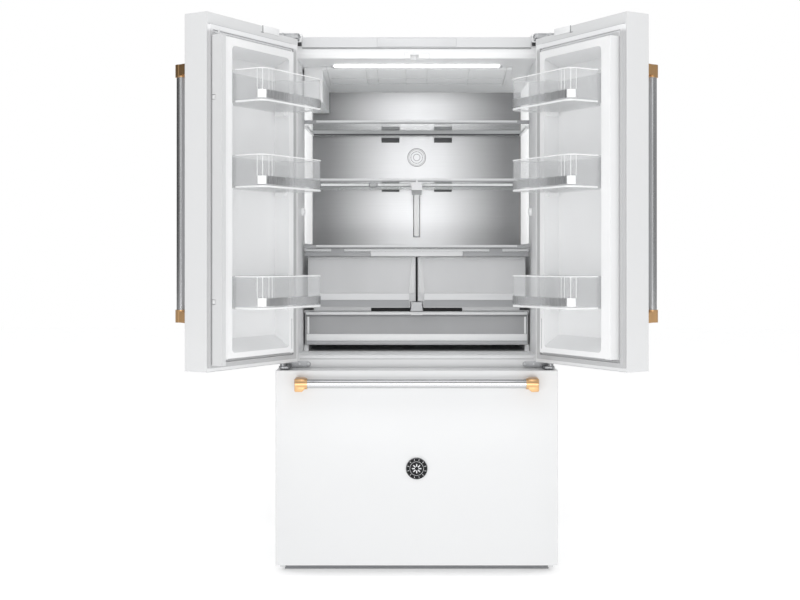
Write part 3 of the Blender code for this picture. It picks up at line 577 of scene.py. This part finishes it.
# ---------------------------------------------------------------- cabinet top
def top_pieces():
    for name, side in SIDES:
        pin = (side * HINGE_PIN[0], HINGE_PIN[1])
        washer = Shape().disc(pin, 0.0105, 1.7566, 1.7580, "z", sides=28)
        washer.disc(pin, 0.0050, 1.7575, 1.7596, "z", sides=6)
        washer.finish("upper_hinge_bolt_" + name, "cabinet", BACK_STEEL, "galvanised_steel")
        cover = Shape()
        cover.slab(both(side, 0.3775, 0.4495), (0.088, 0.168), (1.7622, 1.7655), 0.006, "z")
        for low, high in ((0.3775, 0.3795), (0.4470, 0.4495)):
            cover.block(both(side, low, high), (0.090, 0.168), (1.7525, 1.7630))
        cover.slab(both(side, 0.3775, 0.4085), (0.0885, 0.0965), (1.7375, 1.7650), 0.006)
        cover.disc((side * 0.413, 0.128), 0.0052, 1.7650, 1.7668, "z")
        cover.finish("hinge_cover_" + name, "cabinet", TRIM, "white_plastic")
        # Painted shadow: a dark block under the front of each hinge cover.
        shade = Shape().slab(both(side, 0.3790, 0.3960), (0.0900, 0.0960), (1.7262, 1.7372), 0.003)
        shade.finish("hinge_cover_shadow_" + name, "cabinet", DARK, "rubber")
    panel = Shape().slab((-0.1295, 0.1295), (0.0893, 0.0905), (1.7250, 1.7516), 0.003)
    panel.disc((0.112, 1.7385), 0.0022, 0.0889, 0.0897)
    panel.finish("control_panel", "cabinet", COVER, "white_plastic")
    seam = Shape().ring((-0.1305, 0.1305), (1.7240, 1.7526), (0.0896, 0.0904), 0.0011, 0.0035)
    seam.finish("control_panel_seam", "cabinet", GREY, "grey_plastic")
    # Painted shadow: grey strips in the gap under the top front cover.
    cover_shadow = Shape().block((-0.3765, 0.3765), (0.0935, 0.0969), (1.7188, 1.7211), 0.0004)
    cover_shadow.block((-0.3765, 0.3765), (0.0955, 0.0969), (1.7172, 1.7180), 0.0003)
    cover_shadow.finish("top_cover_shadow_line", "cabinet", GREY, "rubber")
    strip = Shape()
    for sign in SIGNS:
        strip.block(both(sign, 0.0425, 0.3855), (0.0968, 0.0985), (1.6868, 1.6995), 0.0004)
    strip.finish("breaker_strip", "cabinet", TRIM, "white_plastic")


def lamp_pieces():
    lens = Shape()
    lens.slab((-0.282, 0.282), (0.2320, 0.2440), (1.6792, 1.6868), 0.003)
    lens.block((-0.279, 0.279), (0.2350, 0.2410), (1.6780, 1.6800), 0.0006)
    lens.finish("lamp_lens", "cabinet", LAMP, "clear_plastic")
    frame_strip = Shape().block((-0.292, 0.292), (0.2445, 0.2560), (1.6795, 1.6862), 0.0008)
    frame_strip.finish("lamp_frame", "cabinet", GREY, "grey_plastic")
    (front_y, front_z), (back_y, back_z) = DUCT_FRONT, DUCT_BACK
    outline = [DUCT_FRONT, DUCT_BACK, (back_y, back_z + DUCT_RISE), (front_y, front_z + DUCT_RISE)]
    duct = Shape()
    for low, high in zip(DUCT_CUTS, DUCT_CUTS[1:]):
        duct.prism(outline, low + DUCT_GAP, high - DUCT_GAP, "x", 0.0008)
    duct.finish("ceiling_air_duct", "cabinet", DUCT, "grey_plastic")
    sides = Shape()
    for sign in SIGNS:
        lower = [(0.258, 1.6745), (0.474, 1.6455), (0.474, 1.6545), (0.258, 1.6835)]
        low, high = both(sign, 0.3080, 0.3270)
        sides.prism(lower, low, high, "x", 0.002)
    sides.finish("ceiling_duct_sides", "cabinet", TRIM, "white_plastic")
    lines = Shape()
    for y in (0.372, 0.436):
        z = front_z + (y - front_y) * (back_z - front_z) / (back_y - front_y)
        lines.block((-0.300, 0.300), (y, y + 0.004), (z - 0.0012, z + 0.002), 0.0004)
    lines.finish("ceiling_duct_ribs", "cabinet", COVER, "grey_plastic")


# ---------------------------------------------------------------- inside
def rear_pieces():
    rings = Shape()
    for radius, width in ((0.034, 0.0019), (0.0292, 0.0011), (0.0130, 0.0016)):
        rings.hoop((0, EMBLEM_Z), radius, width, (PANEL_FACE - 0.0012, PANEL_FACE + 0.0004))
    for k in range(DOT_COUNT):
        angle = math.radians(360 / DOT_COUNT * k)
        middle = (DOT_RADIUS * math.cos(angle), EMBLEM_Z + DOT_RADIUS * math.sin(angle))
        rings.disc(middle, 0.0017, PANEL_FACE - 0.0010, PANEL_FACE + 0.0003, sides=10, soft=0)
    rings.finish("rear_emblem_rings", "cabinet", DARK_VENT, "brushed_steel")
    # The rail cover glows as painted light, though it is no lamp.
    rail = Shape().slab((-0.0082, 0.0082), (0.5878, 0.5892), (1.1120, 1.2600), 0.002)
    rail.disc((0, 1.135), 0.0022, 0.5870, 0.5884, sides=16)
    rail.finish("rear_rail_cover", "cabinet", RAIL_COVER_GLOW, "white_plastic")
    edges = Shape()
    for sign in SIGNS:
        edges.block(both(sign, 0.0096, 0.0124), (0.5880, 0.5980), (1.1090, 1.2600), 0.0003)
    edges.block((-0.0124, 0.0124), (0.5880, 0.5980), (1.1066, 1.1088), 0.0003)
    edges.finish("rear_rail_edges", "cabinet", DARK_VENT, "grey_plastic")
    for tag, finish, spans in (("upper", SHADED, UPPER_VENTS), ("lower", DARK_VENT, LOWER_VENTS)):
        vents = Shape()
        for sign in SIGNS:
            for low, high in spans:
                across = both(sign, *VENT_X)
                vents.slab(across, (0.5962, 0.5990), (low, high), 0.0012)
                vents.block(across, (0.5955, 0.5980), (low - 0.0014, low - 0.0002), 0.0003)
        vents.finish("rear_vents_" + tag, "cabinet", finish, "brushed_steel")
    caps = Shape()
    for sign in SIGNS:
        low, high = both(sign, 0.3825, 0.3925)
        caps.disc(WALL_CAP, 0.0150, low, high, "x", 0.0012, 36)
        low, high = both(sign, 0.3808, 0.3830)
        caps.disc(WALL_CAP, 0.0085, low, high, "x", 0.0006, 28)
    caps.finish("side_wall_caps", "cabinet", TRIM, "white_plastic")
    # Strips beside the rear wall that glow as painted light, though they are no lamps.
    for name, side in SIDES:
        strip = [(0.3897, 0.341), (0.3915, 0.341), (0.3868, 0.5965), (0.3852, 0.5965)]
        column = Shape().prism([(side * x, y) for x, y in strip], 1.0800, 1.6450, "z", 0.0004)
        column.finish("rear_side_panel_" + name, "cabinet", GLOW, "white_plastic")
    bezel = Shape()
    bezel.slab((-0.3840, -0.3235), (0.2655, 0.2682), (1.5645, 1.6760), 0.006)
    bezel.slab((-0.3790, -0.3285), (0.2640, 0.2660), (1.5700, 1.6250), 0.004)
    bezel.finish("filter_cap", "cabinet", TRIM, "white_plastic")
    clip = Shape().slab((-0.1760, -0.1440), (0.5712, 0.5740), (1.2895, 1.3065), 0.0055)
    clip.finish("shelf_clip", "cabinet", MID_GREY, "rubber")
    face = Shape().slab((-0.1730, -0.1470), (0.5700, 0.5716), (1.2925, 1.3035), 0.0035)
    face.finish("shelf_clip_face", "cabinet", COVER, "white_plastic")


def shelf_edges(name, x, top, rear, lip):
    """The front nose and dark line of one glass shelf, and its rear rail and lip.

    The rear and lip arguments give a low and a high from the shelf's top, and a finish.
    """
    trim = Shape().slab(x, (0.2432, 0.2572), (top - 0.0070, top + 0.0004), 0.002, "x", 0.0012)
    trim.finish(name + "_front_trim", "cabinet", COVER, "white_plastic")
    under = Shape().block(x, (0.2442, 0.2572), (top - 0.0104, top - 0.0071), 0.0006)
    for end in x:
        if abs(end) == SHELF_HALF:
            across = sorted((end, end - math.copysign(SHELF_END, end)))
            under.block(across, (0.2424, 0.2574), (top - 0.0108, top + 0.0007), 0.0006)
    under.finish(name + "_front_rail", "cabinet", SHADED, "grey_plastic")
    for part, front, (low, high, finish), slot in (
        ("_rear_trim", 0.5750, rear, "grey_plastic"),
        ("_rear_lip", 0.5742, lip, "white_plastic"),
    ):
        bar = Shape().block(x, (front, 0.5881), (top + low, top + high), 0.0006)
        bar.finish(name + part, "cabinet", finish, slot)


def shelf_pieces():
    whole = (-SHELF_HALF, SHELF_HALF)
    top_rear = ((-0.0122, 0.0004, GREY), (-0.0176, -0.0124, DARK_VENT))
    # The half shelves' rear lips glow as painted light.
    half_rear = ((-0.0068, 0.0042, SHADED), (-0.0052, 0.0026, LIT_LIP))
    cover_rear = ((-0.0168, 0.0004, SHADED), (-0.0208, -0.0170, TRIM))
    shelf_edges("top_shelf", whole, TOP_SHELF, *top_rear)
    shelf_edges("half_shelf_left", (-SHELF_HALF, -HALF_SHELF_START), HALF_SHELF, *half_rear)
    shelf_edges("half_shelf_right", (HALF_SHELF_START, SHELF_HALF), HALF_SHELF, *half_rear)
    shelf_edges("crisper_cover", whole, CRISPER_COVER, *cover_rear)
    aprons = Shape()
    for sign in SIGNS:
        aprons.block(both(sign, 0.1590, 0.3830), (0.2526, 0.2534), (1.0350, 1.0500), 0.0003)
    aprons.finish("crisper_cover_strips", "cabinet", SHADED, "grey_plastic")
    middle = Shape().block((-0.1570, 0.1570), (0.2526, 0.2534), (1.0355, 1.0520), 0.0003)
    middle.block((-0.3830, 0.3830), (0.2520, 0.2534), (1.0526, 1.0608), 0.0005)
    middle.finish("crisper_cover_face", "cabinet", COVER, "white_plastic")
    divider = Shape().block((-0.0028, 0.0028), (0.2746, 0.2764), (0.8800, 1.0330), 0.0003)
    divider.block((-0.0022, 0.0022), (0.2740, 0.2750), (0.8850, 1.0300), 0.0003)
    divider.finish("crisper_divider", "cabinet", ENAMEL, "rubber")
    outline = [
        (-0.0200, 0.8480), (0.0200, 0.8480), (0.0165, 0.8700),
        (0.0200, 0.8780), (-0.0200, 0.8780), (-0.0165, 0.8700),
    ]
    foot = Shape().prism(outline, 0.2606, 0.2628, "y", 0.0006)
    foot.finish("crisper_foot_face", "cabinet", GREY, "white_plastic")


def crisper_pieces():
    for name, side in SIDES:
        body = name + "_crisper"
        band = Shape().slab(both(side, 0.0260, 0.3700), (0.2655, 0.2684), (0.8858, 0.9080), 0.003)
        band.finish("crisper_band_" + name, body, COVER, "white_plastic")
        low = Shape().slab(both(side, 0.0260, 0.3700), (0.2660, 0.2684), (0.8625, 0.8850), 0.003)
        low.finish("crisper_lower_band_" + name, body, SHADED, "grey_plastic")
        edge = Shape()
        edge.prism(tilted(side, 0.0045, 0.0190, 1.0330, 0.9090), 0.2662, 0.2684, "y", 0.0006)
        edge.finish("crisper_inner_edge_" + name, body, SOFT_RIM, "clear_plastic")
        grip = Shape().slab(both(side, 0.0300, 0.3690), (0.2650, 0.2686), (1.0240, 1.0330), 0.002)
        grip.finish("crisper_rim_" + name, body, CRISPER, "clear_plastic")
        # Painted shade: a black strip where the gap below each crisper front shows only darkness.
        gap = Shape().block(both(side, 0.0225, 0.1560), (0.2700, 0.2728), (0.8470, 0.8585), 0.0004)
        gap.finish("crisper_gap_shade_" + name, body, ENAMEL, "rubber")


def tilted(side, near, far, top, bottom):
    """The outline of a crisper's bright inner edge, which leans towards the middle at the top."""
    points = [(near, top), (near + 0.0130, top), (far + 0.0080, bottom), (far - 0.0100, bottom)]
    return [(side * x, z) for x, z in points]


def deli_pieces():
    rim = Shape().slab((-0.3825, 0.3825), (0.2925, 0.2964), (0.8340, 0.8448), 0.004)
    rim.slab((-0.0210, 0.0210), (0.2912, 0.2940), (0.8330, 0.8440), 0.002)
    rim.finish("deli_rim", "deli_drawer", TRIM, "white_plastic")
    line = Shape().block((-0.3800, 0.3800), (0.2946, 0.2964), (0.8278, 0.8332), 0.0004)
    line.finish("deli_rim_shadow", "deli_drawer", MID_GREY, "grey_plastic")
    bars = Shape()
    for sign in SIGNS:
        bars.block(both(sign, 0.3705, 0.3775), (0.2944, 0.2964), (0.7680, 0.8270), 0.0006)
    bars.block((-0.3800, 0.3800), (0.2940, 0.2964), (0.7440, 0.7672), 0.001)
    bars.finish("deli_front_bars", "deli_drawer", TRIM, "white_plastic")
    base = Shape().block((-0.3800, 0.3800), (0.2946, 0.2964), (0.7305, 0.7432), 0.001)
    base.finish("deli_base_bar", "deli_drawer", GREY, "grey_plastic")


def lower_pieces():
    screws = Shape()
    for sign in SIGNS:
        screws.disc((sign * 0.3560, 0.6805), 0.0046, 0.0908, 0.0928, sides=24)
        screws.disc((sign * 0.3860, 0.6805), 0.0040, 0.0912, 0.0928, sides=24)
    screws.finish("lower_hinge_screws", "cabinet", BACK_STEEL, "galvanised_steel")
    sill = Shape().block((-0.3850, 0.3850), (0.0962, 0.0975), (0.6960, 0.6990), 0.0004)
    sill.finish("centre_rail_line", "cabinet", GREY, "grey_plastic")


# ---------------------------------------------------------------- doors
def bin_path(side, grow):
    """The outside of a bin in plan, from its handle side round the front to its hinge side."""
    low, high = BIN_WIDE[0] - grow, BIN_WIDE[1] + grow
    front = BIN_FRONT + grow
    radius = BIN_CORNER + grow
    points = [(low, BIN_REAR)]
    for middle, first in ((low + radius, 180), (high - radius, 90)):
        for k in range(CORNER_STEPS + 1):
            angle = math.radians(first - 90 * k / CORNER_STEPS)
            x = middle + radius * math.cos(angle)
            points.append((x, front - radius + radius * math.sin(angle)))
    points.append((high, BIN_REAR))
    return [(side * x, y) for x, y in points]


def strap(side, path, thick, low, high):
    """A thin strap that follows a path, at a height."""
    sign = -side
    outline = [(0, low), (sign * thick, low), (sign * thick, high), (0, high)]
    return Shape().sweep(outline, path)


def bin_pieces(name, side):
    body = name + "_door"
    whole = bin_path(side, BIN_CLEARANCE)
    front = whole[CORNER_STEPS - 1:-1]
    corner = whole[2:CORNER_STEPS - 1]
    for level, low in BIN_LOWS:
        tag = "_" + level + "_" + name
        top = low + BIN_HEIGHT
        rib_low, rib_high = low + 0.0345, top - 0.0030
        band = strap(side, front, 0.0012, low + 0.0105, low + 0.0340)
        band.finish("bin_band" + tag, body, BAND, "brushed_steel")
        # Painted highlight: a white strap over the band's rounded front corner.
        block = strap(side, corner, 0.0016, low + 0.0100, low + 0.0345)
        block.finish("bin_corner_highlight" + tag, body, TRIM, "white_plastic")
        base = strap(side, whole, 0.0008, low + 0.0006, low + 0.0060)
        base.finish("bin_base" + tag, body, RIM, "clear_plastic")
        rim = strap(side, whole, 0.0012, top - 0.0030, top + 0.0004)
        rim.finish("bin_rim" + tag, body, RIM, "clear_plastic")
        # The ribs are partly real and partly a painted highlight: their bright rim plastic stands in
        # for glints of light refracted in the bin's wall.
        ribs = Shape()
        for start in (1, CORNER_STEPS // 2, CORNER_STEPS):
            rib_on(ribs, side, whole[start:start + 2], rib_low, rib_high)
        wall_y = whole[CORNER_STEPS + 1][1]
        rib_on(ribs, side, [(side * 0.1180, wall_y), (side * 0.1205, wall_y)], rib_low, rib_high)
        ribs.finish("bin_ribs" + tag, body, RIM, "clear_plastic")


def rib_on(shape, side, path, low, high):
    """A short upright rib on a bin's wall."""
    first, second = Vector(path[0]), Vector(path[1])
    along = (second - first).normalized() * RIB_HALF
    middle = (first + second) / 2
    out = Vector((along.y, -along.x)).normalized() * (-side * RIB_OUT)
    corners = (middle - along, middle + along, middle + along + out, middle - along + out)
    shape.prism([tuple(corner) for corner in corners], low, high, "z", 0.0001, 1)


def door_pieces():
    for name, side in SIDES:
        body = name + "_door"
        bin_pieces(name, side)
        cap = Shape().block(both(side, 0.2740, 0.3540), (0.0600, 0.0868), (1.7335, 1.7545), 0.001)
        cap.finish("door_cap_block_" + name, body, TRIM, "white_plastic")
        # Painted shadow: a dark L along the end of the raised cap block and under it.
        cap_step_shadow = Shape().block(both(side, 0.2688, 0.2712), (0.0840, 0.0860), (1.7330, 1.7535), 0.0003)
        cap_step_shadow.block(both(side, 0.2600, 0.2738), (0.0840, 0.0860), (1.7310, 1.7328), 0.0003)
        cap_step_shadow.finish("door_cap_step_shadow_" + name, body, MID_GREY, "grey_plastic")
        seam = Shape().block(both(side, 0.0120, 0.4200), (0.0840, 0.0857), (1.7172, 1.7190), 0.0003)
        seam.finish("door_cap_seam_" + name, body, GREY, "grey_plastic")
        fold = Shape().ring(both(side, 0.0200, 0.4165), (0.7200, 1.6995), *GASKET_FOLD)
        fold.finish("gasket_bellows_" + name, body, BELLOWS, "rubber")
        slot = Shape().slab(both(side, 0.3655, 0.3690), (0.1238, 0.1256), (0.7420, 0.8380), 0.0015)
        slot.finish("liner_slot_" + name, body, GREY, "grey_plastic")
        # The raised frame is a thin sheet in a lighter copy of the liner's plastic: painted light.
        outer = rounded(both(side, 0.0290, 0.3765), (0.7322, 1.6815), 0.010)
        inner = rounded(both(side, 0.0705, 0.3535), (0.7475, 1.6585), 0.014)
        rim = Shape().frame_of(outer, inner, (0.1244, 0.1253))
        rim.finish("liner_frame_" + name, body, LINER_FRAME_PAINTED_LIGHT, "white_plastic")
        line = Shape().block(both(side, 0.0520, 0.3580), (0.1242, 0.1254), (0.7300, 0.7318), 0.0003)
        line.finish("liner_line_" + name, body, GREY, "grey_plastic")
        screws = Shape()
        for z in (0.8525, 1.5925):
            screws.disc((side * 0.047, z), *HANDLE_CAP, sides=24)
        screws.finish("handle_caps_" + name, body, BRASS, "brass")


# ---------------------------------------------------------------- drawer
def badge_pieces():
    disc = Shape().disc((0, BADGE_Z), 0.0350, -0.0028, 0.0004, sides=72, soft=0.0008)
    disc.finish("badge_disc", "freezer_drawer", ENAMEL, "black_enamel")
    rings = Shape()
    for radius, width in ((0.0345, 0.0005), (0.0225, 0.0008)):
        rings.hoop((0, BADGE_Z), radius, width, (-0.0036, -0.0020))
    for k in range(12):
        ray(rings, math.radians(30 * k + 15), 0.0256, 0.0312, 0.0006)
    for k in range(8):
        ray(rings, math.radians(45 * k), 0.0060, 0.0150, 0.0016)
    rings.finish("badge_rings", "freezer_drawer", WIRE, "brushed_steel")


def ray(shape, angle, near, far, half):
    """A thin raised bar that points away from the badge's centre."""
    along = Vector((math.cos(angle), math.sin(angle)))
    across = Vector((-along.y, along.x)) * half
    centre = Vector((0, BADGE_Z))
    start, end = along * near, along * far
    corners = (start - across, end - across, end + across, start + across)
    shape.prism([tuple(centre + corner) for corner in corners], -0.0034, -0.0022, "y")


def drawer_pieces():
    badge_pieces()
    fold = Shape().ring((-0.4165, 0.4165), (0.0665, 0.6520), *GASKET_FOLD)
    fold.finish("drawer_gasket_bellows", "freezer_drawer", BELLOWS, "rubber")
    caps = Shape()
    for sign in SIGNS:
        caps.disc((sign * 0.367, 0.630), *HANDLE_CAP, sides=24)
    caps.finish("drawer_handle_caps", "freezer_drawer", BRASS, "brass")
    lips = Shape()
    for sign in SIGNS:
        lower = [(0.3868, 0.6080), (0.3840, 0.6055), (0.3630, 0.6055), (0.3540, 0.6140)]
        for high, near, far in ((0.6180, -0.0640, -0.0004), (0.6460, -0.0652, -0.0590)):
            outline = [(0.3868, high), *lower, (0.3540, high)]
            lips.prism([(sign * x, z) for x, z in outline], near, far, "y", 0.0012)
    lips.finish("drawer_bracket_lips", "freezer_drawer", BRASS, "brass")
    rails = Shape()
    for z in (0.438, 0.300):
        rails.block((-0.3725, 0.3725), (0.1095, 0.1125), (z - 0.003, z + 0.003), 0.001)
    rails.finish("basket_front_rails", "freezer_drawer", TRIM, "white_plastic")


# ---------------------------------------------------------------- back
def back_pieces():
    screws = Shape()
    for z in (0.36, 0.62, 0.90, 1.18, 1.46, 1.72):
        for sign in SIGNS:
            screws.disc((sign * 0.436, z), *PANEL_SCREW, sides=20)
    for x in (-0.30, 0.0, 0.30):
        screws.disc((x, 1.735), *PANEL_SCREW, sides=20)
        for z in (0.318, 0.058):
            screws.disc((x, z), *COVER_SCREW, sides=20)
    screws.finish("back_screws", "cabinet", HINGE_STEEL, "galvanised_steel")
    valve = Shape().disc(WATER_INLET, 0.0120, 0.7018, 0.7100, sides=32)
    valve.disc(WATER_INLET, 0.0075, 0.7090, 0.7150, sides=24)
    valve.finish("water_inlet", "cabinet", BRASS, "brass")
    loops = Shape()
    for k in range(7):
        z = 0.120 + 0.024 * k
        loops.slab((-0.08, 0.08), (0.7018, 0.7042), (z, z + 0.009), 0.004)
    loops.finish("machine_cover_louvres", "cabinet", BACK_STEEL, "galvanised_steel")


# ---------------------------------------------------------------- stage
def make_camera():
    data = bpy.data.cameras.new("camera")
    data.sensor_width = SENSOR_WIDTH
    data.lens = FOCAL_LENGTH
    data.shift_x, data.shift_y = FRAME_SHIFT
    camera = bpy.data.objects.new("camera", data)
    camera.location = (0, CAMERA_Y + SHIFT_Y, CAMERA_Z)
    camera.rotation_euler = (math.radians(90), 0, 0)
    bpy.context.scene.collection.objects.link(camera)
    bpy.context.scene.camera = camera


def make_world():
    """White to the camera, soft white to surfaces, and to gloss a studio graded by height and side."""
    world = bpy.data.worlds.new("studio")
    world.use_nodes = True
    bpy.context.scene.world = world
    tree = world.node_tree
    tree.nodes.clear()
    join = tree.links.new

    def add(kind):
        return tree.nodes.new("ShaderNode" + kind)

    path, place, split = add("LightPath"), add("TexCoord"), add("SeparateXYZ")
    height, ramp = add("MapRange"), add("ValToRGB")
    across, side_ramp, blend = add("MapRange"), add("ValToRGB"), add("MixRGB")
    gloss, soft, seen = add("Background"), add("Background"), add("Background")
    by_gloss, by_camera, output = add("MixShader"), add("MixShader"), add("OutputWorld")
    join(place.outputs["Generated"], split.inputs[0])
    for axis, span, levels, stops in (
        ("Z", height, ramp, GLOSS_BY_HEIGHT),
        ("X", across, side_ramp, GLOSS_BY_SIDE),
    ):
        span.inputs["From Min"].default_value = -1
        set_stops(levels, stops)
        join(split.outputs[axis], span.inputs["Value"])
        join(span.outputs[0], levels.inputs["Fac"])
    blend.blend_type = "MULTIPLY"
    blend.inputs["Fac"].default_value = 1.0
    join(ramp.outputs["Color"], blend.inputs["Color1"])
    join(side_ramp.outputs["Color"], blend.inputs["Color2"])
    join(blend.outputs[0], gloss.inputs["Color"])
    soft.inputs["Color"].default_value = SOFT_COLOUR
    soft.inputs["Strength"].default_value = SOFT_LIGHT
    seen.inputs["Color"].default_value = (1, 1, 1, 1)
    seen.inputs["Strength"].default_value = 1.0
    join(path.outputs["Is Glossy Ray"], by_gloss.inputs["Fac"])
    join(soft.outputs[0], by_gloss.inputs[1])
    join(gloss.outputs[0], by_gloss.inputs[2])
    join(path.outputs["Is Camera Ray"], by_camera.inputs["Fac"])
    join(by_gloss.outputs[0], by_camera.inputs[1])
    join(seen.outputs[0], by_camera.inputs[2])
    join(by_camera.outputs[0], output.inputs["Surface"])


def add_light(name, location, aim, size, power):
    data = bpy.data.lights.new(name, "AREA")
    data.shape = "RECTANGLE"
    data.size, data.size_y = size
    data.energy = power
    light = bpy.data.objects.new(name, data)
    light.location = location
    light.visible_camera = False
    light.rotation_euler = (Vector(aim) - Vector(location)).to_track_quat("-Z", "Y").to_euler()
    bpy.context.scene.collection.objects.link(light)


def make_lights():
    for light in LIGHTS:
        add_light(*light)


def make_floor():
    """A wide pale floor, very slightly uneven in tone."""
    half = FLOOR_HALF
    mesh = bpy.data.meshes.new("floor")
    corners = [(-half, -half, 0), (half, -half, 0), (half, half, 0), (-half, half, 0)]
    mesh.from_pydata(corners, [], [(0, 1, 2, 3)])
    floor = bpy.data.objects.new("floor", mesh)
    bpy.context.scene.collection.objects.link(floor)
    finish = lit("pale_floor", (0.93, 0.93, 0.93), 0.8, FLOOR_GLOW)
    mesh.materials.append(finish.material)


# ---------------------------------------------------------------- main
dress_nodes()
top_pieces()
lamp_pieces()
rear_pieces()
shelf_pieces()
crisper_pieces()
deli_pieces()
lower_pieces()
door_pieces()
drawer_pieces()
back_pieces()
make_camera()
make_world()
make_lights()
make_floor()
bpy.context.scene.view_settings.view_transform = "Standard"
